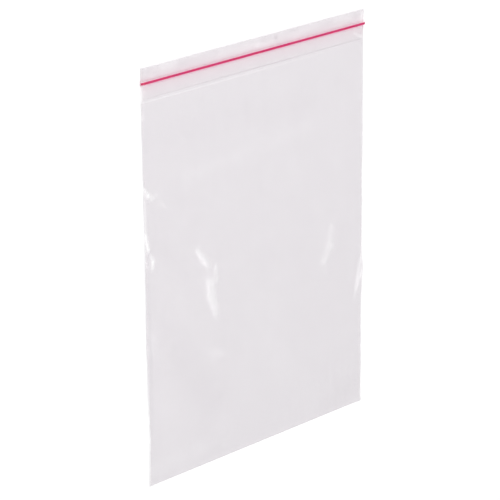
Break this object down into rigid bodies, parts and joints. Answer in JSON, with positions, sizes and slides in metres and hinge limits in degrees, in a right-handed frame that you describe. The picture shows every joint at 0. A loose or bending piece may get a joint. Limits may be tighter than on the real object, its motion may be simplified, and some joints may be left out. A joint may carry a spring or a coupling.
{
  "type": "resealable film bag",
  "caption": "Clear thin-film pouch with a press-to-close zip and a red marking line, closed, empty and lying flat.",
  "frame": {"origin": "centre of the flat bag on the surface that its back lies on", "axes": "+X across the bag, +Y up the bag to its mouth, +Z out of its front"},
  "size_m": [0.1608, 0.228, 0.0022],
  "materials": {
    "clear_film": "soft glossy clear film with a slight milky haze",
    "clear_strip": "satin clear plastic",
    "red_plastic": "satin crimson plastic"
  },
  "bodies": {
    "root": {"film_pouch": "clear_film", "zip_rib_strip": "clear_strip", "zip_groove_strip": "clear_strip", "red_line": "red_plastic"}
  },
  "joints": []
}
